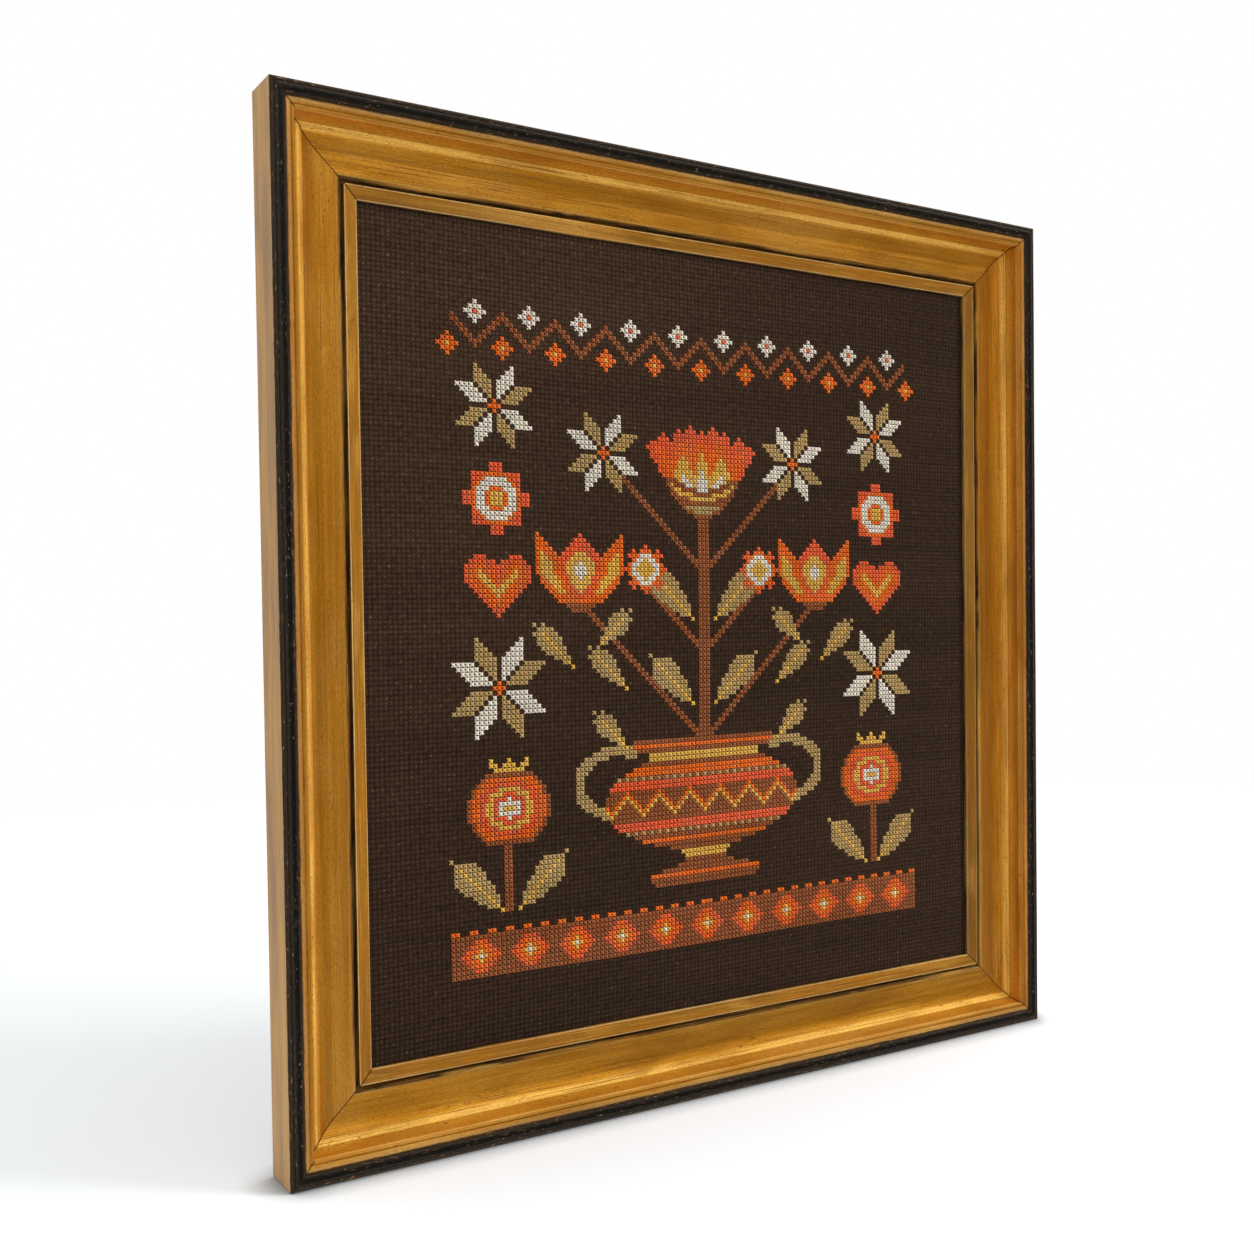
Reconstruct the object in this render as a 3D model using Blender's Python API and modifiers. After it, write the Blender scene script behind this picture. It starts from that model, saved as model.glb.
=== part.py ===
# Framed cross stitch embroidery, standing upright on its bottom edge.
# The cloth lies flat on a backing board, behind a thin gilded slip and a mitred gilded moulding.
# Metres, +Z up. The origin is the middle of the footprint, and the embroidered side faces -Y.

import math

import bmesh
import bpy
from mathutils import Matrix, Vector

MM = 0.001

# Driving sizes
FRAME_WIDTH = 450 * MM
FRAME_HEIGHT = 475 * MM
FRAME_DEPTH = 26 * MM
GAP = 0.3 * MM
REBATE_EDGE = 28.0 * MM
REBATE_FLOOR = 17.6 * MM
SLIP_FRONT = REBATE_FLOOR + GAP
SLIP_BACK = 19.2 * MM
CLOTH_THICKNESS = 1.2 * MM
BOARD_THICKNESS = 3.0 * MM
BOARD_EASE = 0.4 * MM
WELD = 0.00001

# Moulding section, in millimetres, from the outer back corner forwards and inwards.
# Columns: inward from the frame's outer face, depth behind its front, bulge to the left of
# the way along (hollows are negative), and the number of straight steps in the stretch.
MOULDING_START = (0.0, FRAME_DEPTH / MM)
MOULDING_STRETCHES = (
    (0.0, 1.6, 0.0, 1),      # raw outer side
    (1.3, 0.4, 0.3, 4),      # eased outer arris
    (1.9, 0.9, 0.0, 1),      # quirk behind the arris
    (2.5, 0.25, 0.0, 1),
    (6.6, 1.25, 0.67, 8),    # black bead, its crest is the frame's front
    (7.0, 2.0, 0.0, 1),      # step down to the gold
    (9.1, 2.45, 0.1, 2),     # gold lip
    (9.6, 3.0, 0.0, 1),      # fine groove
    (10.1, 2.65, 0.0, 1),
    (11.0, 3.2, 0.15, 3),    # bright inner arris
    (13.3, 10.6, -0.5, 5),   # steep wall
    (15.7, 11.8, 0.45, 5),   # soft ridge
    (24.0, 15.3, -0.8, 9),   # scoop
    (33.4, 15.1, 0.12, 4),   # broad inner face
    (34.2, 15.8, 0.15, 3),   # eased inner arris
    (34.2, REBATE_FLOOR / MM, 0.0, 1),
    (REBATE_EDGE / MM, REBATE_FLOOR / MM, 0.0, 1),
    (REBATE_EDGE / MM, FRAME_DEPTH / MM, 0.0, 1),
)

# Slip section, in the same columns, from the back of its flange round to the sloping face.
SLIP_START = ((REBATE_EDGE + GAP) / MM, SLIP_BACK / MM)
SLIP_STRETCHES = (
    ((REBATE_EDGE + GAP) / MM, SLIP_FRONT / MM, 0.0, 1),
    (35.8, SLIP_FRONT / MM, 0.0, 1),   # flange under the moulding's lip
    (35.8, 15.5, 0.0, 1),
    (36.4, 15.15, 0.1, 3),             # rounded outer edge
    (41.7, 16.7, 0.1, 3),              # sloping face
    (42.3, 17.2, 0.12, 3),             # rounded inner edge
    (42.3, SLIP_BACK / MM, 0.0, 1),
)

# Each side: name, turn about Y from the bottom side, half span across it and along it.
SIDES = (
    ("bottom", 0, FRAME_HEIGHT / 2, FRAME_WIDTH / 2),
    ("right", -90, FRAME_WIDTH / 2, FRAME_HEIGHT / 2),
    ("top", 180, FRAME_HEIGHT / 2, FRAME_WIDTH / 2),
    ("left", 90, FRAME_WIDTH / 2, FRAME_HEIGHT / 2),
)


def clear_scene():
    for old in list(bpy.data.objects):
        bpy.data.objects.remove(old, do_unlink=True)


def make_material(name, colour, roughness, metallic=0.0):
    mat = bpy.data.materials.new(name)
    mat.use_nodes = True
    shader = mat.node_tree.nodes["Principled BSDF"]
    shader.inputs["Base Color"].default_value = (*colour, 1.0)
    shader.inputs["Roughness"].default_value = roughness
    shader.inputs["Metallic"].default_value = metallic
    return mat


def bowed(start, end, bulge, steps):
    """Points after start, along a circular arc to end whose middle stands off by bulge."""
    start = Vector(start)
    end = Vector(end)
    if bulge == 0.0:
        return [end]
    chord = end - start
    side = Vector((-chord.y, chord.x)).normalized()
    half = chord.length / 2
    radius = (half * half + bulge * bulge) / (2 * bulge)
    centre = (start + end) / 2 + side * (bulge - radius)
    sweep = 2 * math.asin(half / abs(radius))
    if bulge > 0:
        sweep = -sweep
    arm = start - centre
    points = []
    for step in range(1, steps + 1):
        points.append(centre + Matrix.Rotation(sweep * step / steps, 2) @ arm)
    return points


def section_outline(start, stretches):
    """The closed outline of a section, with u inward and height towards the front, in metres."""
    points = [Vector((start[0], -start[1]))]
    for inward, depth, bulge, steps in stretches:
        points += bowed(points[-1], (inward, -depth), bulge, steps)
    return [point * MM for point in points]


def section_bar(name, outline, length):
    """A straight length of a section: a filled flat outline, extruded along local Z."""
    curve = bpy.data.curves.new(name, "CURVE")
    curve.dimensions = "2D"
    curve.fill_mode = "BOTH"
    curve.extrude = length / 2
    spline = curve.splines.new("POLY")
    spline.points.add(len(outline) - 1)
    for point, place in zip(spline.points, outline):
        point.co = (place.x, place.y, 0.0, 1.0)
    spline.use_cyclic_u = True
    guide = bpy.data.objects.new(name + "_outline", curve)
    bpy.context.scene.collection.objects.link(guide)
    bpy.context.view_layer.update()
    evaluated = guide.evaluated_get(bpy.context.evaluated_depsgraph_get())
    mesh = bpy.data.meshes.new_from_object(evaluated)
    mesh.name = name
    bpy.data.objects.remove(guide, do_unlink=True)
    bpy.data.curves.remove(curve)
    return mesh


def cut_mitre(bm, corner, normal):
    """Cuts off what lies beyond a 45 degree plane and closes the end."""
    everything = bm.verts[:] + bm.edges[:] + bm.faces[:]
    cut = bmesh.ops.bisect_plane(
        bm, geom=everything, dist=WELD, plane_co=corner, plane_no=normal, clear_outer=True
    )
    rim = [item for item in cut["geom_cut"] if isinstance(item, bmesh.types.BMEdge)]
    bmesh.ops.edgeloop_fill(bm, edges=rim)


def mitred_side(name, outline, half_across, half_along):
    """One side of the frame as it lies at the bottom, centred on the frame's middle."""
    mesh = section_bar(name, outline, 2 * half_along)
    bm = bmesh.new()
    bm.from_mesh(mesh)
    bmesh.ops.remove_doubles(bm, verts=bm.verts, dist=WELD)
    # The outline's x turns to +Z, its y to -Y, and the length to X.
    stand = Matrix(((0, 0, 1, 0), (0, -1, 0, 0), (1, 0, 0, 0), (0, 0, 0, 1)))
    front = -FRAME_DEPTH / 2
    bmesh.ops.transform(bm, matrix=Matrix.Translation((0, front, -half_across)) @ stand, verts=bm.verts)
    relief = GAP / 2 * math.sqrt(2)
    for end in (-1, 1):
        corner = Vector((end * (half_along - relief), 0, -half_across))
        cut_mitre(bm, corner, Vector((end, 0, 1)).normalized())
    bmesh.ops.triangulate(bm, faces=bm.faces)
    bmesh.ops.recalc_face_normals(bm, faces=bm.faces)
    bm.to_mesh(mesh)
    bm.free()
    return mesh


def add_object(name, mesh, mat, collection, parent):
    mesh.materials.clear()
    mesh.materials.append(mat)
    ob = bpy.data.objects.new(name, mesh)
    collection.objects.link(ob)
    ob.parent = parent
    return ob


def add_sides(prefix, start, stretches, mat, collection, parent):
    outline = section_outline(start, stretches)
    for side, turn, half_across, half_along in SIDES:
        name = prefix + "_" + side
        mesh = mitred_side(name, outline, half_across, half_along)
        ob = add_object(name, mesh, mat, collection, parent)
        ob.rotation_euler = (0, math.radians(turn), 0)


def add_flat_sheet(name, front, thickness, mat, collection, parent):
    """A flat piece that fills the rebate, with its front face at a depth behind the frame's."""
    width = FRAME_WIDTH - 2 * (REBATE_EDGE + GAP)
    height = FRAME_HEIGHT - 2 * (REBATE_EDGE + GAP)
    bm = bmesh.new()
    bmesh.ops.create_cube(bm, size=1.0)
    bmesh.ops.scale(bm, vec=(width, thickness, height), verts=bm.verts)
    mesh = bpy.data.meshes.new(name)
    bm.to_mesh(mesh)
    bm.free()
    ob = add_object(name, mesh, mat, collection, parent)
    ob.location = (0, -FRAME_DEPTH / 2 + front + thickness / 2, 0)
    return ob


def add_cloth(mat, collection, parent):
    add_flat_sheet("cloth", SLIP_BACK + GAP, CLOTH_THICKNESS, mat, collection, parent)


def add_backing_board(mat, collection, parent):
    front = SLIP_BACK + GAP + CLOTH_THICKNESS + GAP
    board = add_flat_sheet("backing_board", front, BOARD_THICKNESS, mat, collection, parent)
    ease = board.modifiers.new("eased edges", "BEVEL")
    ease.width = BOARD_EASE
    ease.segments = 2


def main():
    clear_scene()
    collection = bpy.data.collections.new("framed_cross_stitch")
    bpy.context.scene.collection.children.link(collection)
    middle = bpy.data.objects.new("frame_middle", None)
    middle.location = (0, 0, FRAME_HEIGHT / 2)
    collection.objects.link(middle)
    gilded = make_material("gilded_wood", (0.42, 0.22, 0.05), 0.38, 0.6)
    slip_gilt = make_material("slip_gilt", (0.44, 0.25, 0.06), 0.4, 0.6)
    cloth = make_material("brown_even_weave", (0.045, 0.026, 0.018), 0.95)
    board = make_material("grey_board", (0.33, 0.27, 0.2), 0.9)
    add_sides("rail", MOULDING_START, MOULDING_STRETCHES, gilded, collection, middle)
    add_sides("slip", SLIP_START, SLIP_STRETCHES, slip_gilt, collection, middle)
    add_cloth(cloth, collection, middle)
    add_backing_board(board, collection, middle)


main()
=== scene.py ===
# Framed cross stitch: a gilded scoop moulding with a black bead, a thin gilded slip, and a sampler
# sewn on brown even-weave. Metres, +Z up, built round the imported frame. The stitched side faces -Y.
import math

import bmesh
import bpy
import numpy as np
from mathutils import Matrix, Vector


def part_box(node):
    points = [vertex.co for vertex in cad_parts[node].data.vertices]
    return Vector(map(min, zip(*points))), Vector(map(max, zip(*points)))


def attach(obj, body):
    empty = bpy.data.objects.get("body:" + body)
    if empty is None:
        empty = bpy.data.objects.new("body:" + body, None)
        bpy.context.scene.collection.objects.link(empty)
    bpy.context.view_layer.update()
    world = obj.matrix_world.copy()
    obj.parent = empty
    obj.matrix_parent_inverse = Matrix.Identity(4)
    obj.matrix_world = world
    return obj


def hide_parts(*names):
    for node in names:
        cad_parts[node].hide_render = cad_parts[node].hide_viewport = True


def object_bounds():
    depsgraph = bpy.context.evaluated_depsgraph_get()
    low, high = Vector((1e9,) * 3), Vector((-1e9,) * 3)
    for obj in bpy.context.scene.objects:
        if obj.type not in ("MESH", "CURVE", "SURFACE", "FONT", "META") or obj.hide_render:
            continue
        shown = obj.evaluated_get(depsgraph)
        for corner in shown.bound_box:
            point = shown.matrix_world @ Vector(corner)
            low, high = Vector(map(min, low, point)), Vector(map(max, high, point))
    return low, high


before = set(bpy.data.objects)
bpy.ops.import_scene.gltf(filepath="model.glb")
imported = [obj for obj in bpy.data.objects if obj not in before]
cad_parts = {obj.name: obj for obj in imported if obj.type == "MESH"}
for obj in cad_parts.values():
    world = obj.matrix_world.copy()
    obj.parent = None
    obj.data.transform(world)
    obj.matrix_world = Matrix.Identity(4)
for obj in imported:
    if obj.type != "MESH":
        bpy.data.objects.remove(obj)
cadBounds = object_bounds()

mm = 0.001
low, high = cadBounds
frameWidth = high[0] - low[0]
frameHeight = high[2] - low[2]
frameDepth = high[1] - low[1]
middle = Vector((0, 0, frameHeight / 2))
mitreGap = 0.3 * mm
sides = (                       # name, turn about Y, half span across it and along it
    ("bottom", 0, frameHeight / 2, frameWidth / 2),
    ("right", -90, frameWidth / 2, frameHeight / 2),
    ("top", 180, frameHeight / 2, frameWidth / 2),
    ("left", 90, frameWidth / 2, frameHeight / 2),
)
print("frame loaded,", len(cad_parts), "nodes")


# Helpers for materials

def wire(tree, socket, value):
    if isinstance(value, bpy.types.NodeSocket):
        tree.links.new(value, socket)
    elif socket.type == "RGBA" and len(value) == 3:
        socket.default_value = (*value, 1)
    else:
        socket.default_value = value


def startMaterial(name, constants):
    mat = bpy.data.materials.new(name)
    mat.use_nodes = True
    shader = mat.node_tree.nodes["Principled BSDF"]
    for socket, value in constants.items():
        wire(mat.node_tree, shader.inputs[socket], value)
    return mat, mat.node_tree, shader


def attribute(tree, name):
    made = tree.nodes.new("ShaderNodeAttribute")
    made.attribute_name = name
    return made.outputs["Vector"]


def objectPlace(tree):
    return tree.nodes.new("ShaderNodeTexCoord").outputs["Object"]


def parts(tree, vector):
    made = tree.nodes.new("ShaderNodeSeparateXYZ")
    wire(tree, made.inputs[0], vector)
    return made.outputs


def scaled(tree, vector, scale, shift=(0, 0, 0)):
    made = tree.nodes.new("ShaderNodeMapping")
    made.inputs["Scale"].default_value = scale
    made.inputs["Location"].default_value = shift
    wire(tree, made.inputs["Vector"], vector)
    return made.outputs[0]


def noise(tree, vector, scale, detail=2.0, rough=0.5, warp=0.0):
    # scale is one number, or one for each axis
    if isinstance(scale, tuple):
        vector, scale = scaled(tree, vector, scale), 1.0
    made = tree.nodes.new("ShaderNodeTexNoise")
    wire(tree, made.inputs["Vector"], vector)
    made.inputs["Scale"].default_value = scale
    made.inputs["Detail"].default_value = detail
    made.inputs["Roughness"].default_value = rough
    made.inputs["Distortion"].default_value = warp
    return made.outputs["Fac"]


def maths(tree, operation, first, second=0.0):
    made = tree.nodes.new("ShaderNodeMath")
    made.operation = operation
    for socket, value in zip(made.inputs, (first, second)):
        wire(tree, socket, value)
    return made.outputs[0]


def times(tree, first, second):
    return maths(tree, "MULTIPLY", first, second)


def about(tree, pattern, reach):
    # a pattern turned into a shift to both sides
    return times(tree, maths(tree, "SUBTRACT", pattern, 0.5), reach)


def spread(tree, value, start, end, low=0.0, high=1.0, way="LINEAR"):
    made = tree.nodes.new("ShaderNodeMapRange")
    made.interpolation_type = way
    for socket, given in zip(made.inputs, (value, start, end, low, high)):
        wire(tree, socket, given)
    return made.outputs[0]


def ramp(tree, value, stops, way="LINEAR"):
    made = tree.nodes.new("ShaderNodeValToRGB")
    wire(tree, made.inputs["Fac"], value)
    colours = made.color_ramp
    colours.interpolation = way
    while len(colours.elements) < len(stops):
        colours.elements.new(1.0)
    for element, (place, colour) in zip(colours.elements, stops):
        element.position = place
        element.color = (*colour, 1) if isinstance(colour, tuple) else (colour, colour, colour, 1)
    return made.outputs["Color"]


def mixed(tree, share, first, second, way="MIX"):
    made = tree.nodes.new("ShaderNodeMix")
    made.data_type = "RGBA"
    made.blend_type = way
    wire(tree, made.inputs[0], share)
    wire(tree, made.inputs[6], first)
    wire(tree, made.inputs[7], second)
    return made.outputs[2]


def tinted(tree, under, pattern, start, end, most, colour):
    # a colour laid over the places where a pattern is strong
    return mixed(tree, spread(tree, pattern, start, end, 0.0, most), under, colour)


def bumped(tree, height, distance, strength, under=None):
    made = tree.nodes.new("ShaderNodeBump")
    made.inputs["Distance"].default_value = distance
    made.inputs["Strength"].default_value = strength
    wire(tree, made.inputs["Height"], height)
    if under is not None:
        wire(tree, made.inputs["Normal"], under)
    return made.outputs["Normal"]


def dress(tree, shader, colour, normal):
    wire(tree, shader.inputs["Base Color"], colour)
    wire(tree, shader.inputs["Normal"], normal)


# Camera and light

camera = {
    "place": (-0.4088, -0.6315, 0.2454),
    "turn": (88.466, 0.601, -34.882),      # degrees
    "lens": 41.57,
    "sensor": 36.0,
    "shift": (-0.1061, 0.0223),
}

studio = {
    "floorRadius": 1.5,
    "floorClear": 0.62,                    # the floor fades into the pale wall from here out
    "floorColour": (0.895, 0.92, 0.935),
    "contactShadowReach": 0.017,                 # painted contact shadow: the floor's colour darkens where the frame meets it
    "contactShadowDark": 0.30,
    "contactSamples": 6,
    "wallColour": (1.0, 1.0, 1.0),         # what the camera sees past the floor
    "roomUp": (                            # from straight down to straight up: place, brightness
        (0.00, 0.95), (0.11, 0.77), (0.145, 0.45), (0.19, 0.20), (0.27, 0.32), (0.35, 0.50), (0.45, 0.14),
        (0.50, 0.09), (0.58, 0.21), (0.65, 0.47), (0.70, 0.82), (0.78, 1.28), (0.88, 0.92), (1.00, 0.70),
    ),
    "roomAcross": (                        # from left to right: place, brightness added to it
        (0.00, 0.44), (0.21, 0.41), (0.31, 0.49), (0.43, 0.47), (0.54, 0.37), (0.65, 0.20), (0.75, 0.06),
        (0.83, 0.00), (0.92, 0.04), (0.97, 0.40), (1.00, 1.00),
    ),
    "roomFill": 0.78,                      # how much of the room's light falls on dull surfaces
    "boxes": (                             # name, place, aim, width, height, power
        ("key", (1.75, -1.4, 1.3), (0, 0, 0.25), 1.1, 1.1, 55.0),
        ("side", (-2.1, -0.7, 0.9), (0, 0, 0.25), 1.3, 1.6, 1.0),
        ("top", (0.1, -0.5, 2.4), (0, 0, 0.2), 2.0, 1.6, 5.0),
    ),
}


def addObject(name, data):
    made = bpy.data.objects.new(name, data)
    bpy.context.scene.collection.objects.link(made)
    return made


def addCamera():
    data = bpy.data.cameras.new("photoView")
    data.sensor_width = camera["sensor"]
    data.lens = camera["lens"]
    data.shift_x, data.shift_y = camera["shift"]
    data.clip_start = 0.02
    data.clip_end = 60.0
    made = addObject("photoView", data)
    made.location = camera["place"]
    made.rotation_euler = [math.radians(angle) for angle in camera["turn"]]
    bpy.context.scene.camera = made


def addSoftBox(name, place, aim, width, height, power):
    data = bpy.data.lights.new(name, "AREA")
    data.shape = "RECTANGLE"
    data.size = width
    data.size_y = height
    data.energy = power
    made = addObject(name, data)
    made.location = place
    made.rotation_euler = (Vector(aim) - Vector(place)).to_track_quat("-Z", "Y").to_euler()
    made.visible_glossy = False            # the gilding mirrors the room alone


def addRoom():
    # pale all round for the camera, and a soft grey room for the gilding to mirror
    world = bpy.data.worlds.new("room")
    bpy.context.scene.world = world
    world.use_nodes = True
    tree = world.node_tree
    tree.nodes.clear()
    way = parts(tree, tree.nodes.new("ShaderNodeTexCoord").outputs["Generated"])
    ray = tree.nodes.new("ShaderNodeLightPath").outputs
    up = ramp(tree, spread(tree, way["Z"], -1.0, 1.0), studio["roomUp"])
    across = ramp(tree, spread(tree, way["X"], -1.0, 1.0), studio["roomAcross"])
    lit = tree.nodes.new("ShaderNodeBackground")
    wire(tree, lit.inputs["Color"], maths(tree, "ADD", up, across))
    wire(tree, lit.inputs["Strength"], spread(tree, ray["Is Diffuse Ray"], 0.0, 1.0, 1.0, studio["roomFill"]))
    seen = tree.nodes.new("ShaderNodeBackground")
    wire(tree, seen.inputs["Color"], studio["wallColour"])
    either = tree.nodes.new("ShaderNodeMixShader")
    for socket, value in zip(either.inputs, (ray["Is Camera Ray"], lit.outputs[0], seen.outputs[0])):
        wire(tree, socket, value)
    out = tree.nodes.new("ShaderNodeOutputWorld")
    wire(tree, out.inputs[0], either.outputs[0])
    bpy.context.scene.view_settings.view_transform = "Standard"


def floorMaterial():
    mat, tree, shader = startMaterial("paleFloor", {"Roughness": 0.9, "Specular IOR Level": 0.1})
    # painted contact shadow: ambient occlusion darkens the floor's colour near the frame
    near = tree.nodes.new("ShaderNodeAmbientOcclusion")
    near.samples = studio["contactSamples"]
    near.inputs["Distance"].default_value = studio["contactShadowReach"]
    shade = spread(tree, near.outputs["AO"], 0.5, 1.0, studio["contactShadowDark"], 1.0)
    wire(tree, shader.inputs["Base Color"], mixed(tree, shade, (0, 0, 0), studio["floorColour"]))
    far = tree.nodes.new("ShaderNodeVectorMath")
    far.operation = "LENGTH"
    wire(tree, far.inputs[0], objectPlace(tree))
    wire(tree, shader.inputs["Alpha"], spread(tree, far.outputs["Value"], studio["floorClear"],
                                              studio["floorRadius"], 1.0, 0.0, "SMOOTHSTEP"))
    return mat


def addFloor():
    mesh = bpy.data.meshes.new("floor")
    bm = bmesh.new()
    bmesh.ops.create_circle(bm, cap_ends=True, segments=96, radius=studio["floorRadius"])
    bm.to_mesh(mesh)
    bm.free()
    mesh.materials.append(floorMaterial())
    floor = addObject("floor", mesh)
    floor.visible_glossy = False           # the gilding mirrors the dim room, not a white floor


addCamera()
for box in studio["boxes"]:
    addSoftBox(*box)
addRoom()
addFloor()
print("camera, lights and floor ready")


# Helpers for meshes

def addPiece(name, points, faces, mat, smoothAngle):
    mesh = bpy.data.meshes.new(name)
    mesh.from_pydata(points.tolist(), [], faces)
    mesh.validate()
    mesh.shade_smooth()
    mesh.set_sharp_from_angle(angle=math.radians(smoothAngle))
    mesh.materials.append(mat)
    piece = addObject(name, mesh)
    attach(piece, "root")
    return piece


def storeVector(piece, name, values, domain="POINT"):
    layer = piece.data.attributes.new(name, "FLOAT_VECTOR", domain)
    layer.data.foreach_set("vector", np.asarray(values, np.float32).ravel())


def bowedPoints(start, end, bulge, steps):
    # points after start, on an arc whose middle stands off by bulge; a hollow is negative
    shares = np.arange(1, steps + 1) / steps
    chord = np.subtract(end, start)
    if bulge == 0:
        return [tuple(np.add(start, chord * share)) for share in shares]
    half = np.hypot(*chord) / 2
    side = np.array((-chord[1], chord[0])) / (2 * half)
    radius = (half * half + bulge * bulge) / (2 * bulge)
    centre = np.add(start, end) / 2 + side * (bulge - radius)
    sweep = -math.copysign(2 * math.asin(half / abs(radius)), bulge)
    arm = np.subtract(start, centre)
    points = []
    for share in shares:
        c, s = math.cos(sweep * share), math.sin(sweep * share)
        points.append((centre[0] + c * arm[0] - s * arm[1], centre[1] + s * arm[0] + c * arm[1]))
    return points


def sectionOutline(start, stretches):
    # points with columns inward and minus the depth behind the front, and the arc length so far; metres
    points = [(start[0], -start[1])]
    for inward, depth, bulge, steps in stretches:
        points += bowedPoints(points[-1], (inward, -depth), bulge, steps)
    points = np.array(points) * mm
    arc = np.concatenate(([0], np.cumsum(np.hypot(*np.diff(points, axis=0).T))))
    return points, arc


def outwardNormals(outline):
    ahead = np.roll(outline, -1, axis=0) - outline
    behind = outline - np.roll(outline, 1, axis=0)
    along = ahead / np.hypot(*ahead.T)[:, None] + behind / np.hypot(*behind.T)[:, None]
    along /= np.hypot(*along.T)[:, None] + 1e-9
    return np.stack((-along[:, 1], along[:, 0]), 1)


def sweepSide(name, order, section, push, count, mats):
    # one mitred length; push gives how far each point moves along its outward normal
    outline, arc = section
    _, turn, halfAcross, halfAlong = sides[order]
    share = np.linspace(-1, 1, count + 1)
    normals = outwardNormals(outline)
    along = share[:, None] * (halfAlong - outline[None, :, 0])
    moved = push(along, np.broadcast_to(arc, along.shape))
    inward = np.maximum(outline[None, :, 0] + moved * normals[None, :, 0], 0)
    front = np.minimum(outline[None, :, 1] + moved * normals[None, :, 1], 0)
    relief = mitreGap / 2 * math.sqrt(2)
    x = share[:, None] * (halfAlong - relief - inward)
    points = np.stack((x, -frameDepth / 2 - front, inward - halfAcross), -1)
    turned = np.array(Matrix.Rotation(math.radians(turn), 3, "Y"))
    points = points.reshape(-1, 3) @ turned.T + np.array(middle)
    ring = len(outline)
    faces = []
    for row in range(count):
        for k in range(ring):
            a = row * ring + k
            b = row * ring + (k + 1) % ring
            faces.append((a, b, b + ring, a + ring))
    faces.append(tuple(range(ring))[::-1])
    faces.append(tuple(range(count * ring, (count + 1) * ring)))
    piece = addPiece(name, points, faces, mats[0], smoothAngle=38)
    piece.data.materials.append(mats[1])
    for face in piece.data.polygons[-2:]:
        face.material_index = 1
    # along the length, round the section, and how far off the mitre; each length has its own grain
    ownGrain = 0.7 * (1 + order)
    toMitre = (1 - np.abs(share))[:, None] * (halfAlong - outline[None, :, 0])
    place = np.stack((along + ownGrain, np.broadcast_to(arc, along.shape), toMitre), -1).reshape(-1, 3)
    corners = np.empty(len(piece.data.loops), int)
    piece.data.loops.foreach_get("vertex_index", corners)
    place = place[corners]
    # the back face runs on past the last point instead of sweeping back to the first
    closing = 4 * (np.arange(count) * ring + ring - 1)
    for corner in (1, 2):
        place[closing + corner, 1] = arc[-1] + np.hypot(*(outline[0] - outline[-1]))
    storeVector(piece, "place", place, "CORNER")
    return piece


# Moulding: raw wood outside, black bead, gold from the lip inwards

moulding = {
    "start": (0.0, 26.0),
    "stretches": (                        # inward, depth, bulge, steps
        (0.0, 1.6, 0.0, 6),               # raw outer side
        (1.3, 0.4, 0.3, 5),               # eased outer arris
        (1.9, 0.9, 0.0, 2),               # quirk behind the arris
        (2.5, 0.25, 0.0, 2),
        (6.6, 1.25, 0.67, 11),            # black bead
        (7.0, 2.0, 0.0, 2),               # step down to the gold
        (9.1, 2.45, 0.1, 4),              # lip with a fine groove
        (9.6, 3.0, 0.0, 2),
        (10.1, 2.65, 0.0, 2),
        (11.0, 3.2, 0.15, 4),
        (13.3, 10.6, -0.5, 7),            # steep wall
        (15.7, 11.8, 0.45, 7),            # soft ridge
        (24.0, 15.3, -0.8, 11),           # scoop
        (33.4, 15.1, 0.12, 10),           # broad inner face
        (34.2, 15.8, 0.15, 4),
        (34.2, 17.6, 0.0, 1),
        (28.0, 17.6, 0.0, 1),             # rebate
        (28.0, 26.0, 0.0, 1),
    ),
    "side": "raw",                        # the finish of the outer side
    "finishes": (                         # the finish at each place, mm inward
        (0.0, "arris"), (1.5, "arris"), (2.2, "quirk"), (2.9, "quirk"), (3.5, "bead"), (5.3, "bead"),
        (5.9, "shoulder"), (6.7, "shoulder"), (7.1, "step"), (7.7, "tan"), (8.3, "tan"), (8.8, "lip"),
        (9.5, "groove"), (9.9, "lip"), (10.9, "lip"), (11.05, "rubbed"), (11.16, "rubbed"),
        (11.3, "wall"), (13.6, "wall"), (14.35, "ridge"), (15.9, "ridge"), (17.4, "scoop"), (23.5, "scoop"),
        (25.0, "face"), (31.5, "face"), (32.7, "faceEdge"), (33.2, "gap"),
    ),
    "behind": ((1.0, "gap"), (2.6, "raw")),    # mm round the section, past its innermost point
    "wander": (0.8 * mm, 0.8 * mm),       # ragged paint edges: fine and slow share
    "steadyFrom": 8.0,                    # mm inward; the edges hardly wander past it
    "wear": {"grain": 0.8, "mottle": 0.36, "pits": 0.85, "knocks": 0.85,       # how strong each mark gets
             "chips": 0.9, "dust": 0.8, "streaks": 0.3},
    "paintedSideShade": (0.0, 0.26, 0.04, 0.15),     # painted shade: how far each length is darkened towards brown; bottom, right, top, left
    "paintedSideShadeColour": (0.42, 0.09, 0.002),
    "rough": (0.30, 0.46),                # of the gold, along its brush streaks
    "lengthSteps": 240,                   # faces along each length
    "waveHeight": 0.05 * mm,
    "dents": 46,                          # on each length
    "dentsBetween": (1.0, 33.5),          # mm inward
    "dentDepth": (0.08 * mm, 0.34 * mm),
    "dentLength": (1.4 * mm, 4.2 * mm),
    "dentWidth": (0.5 * mm, 1.2 * mm),
    "seed": 7,
}

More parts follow.
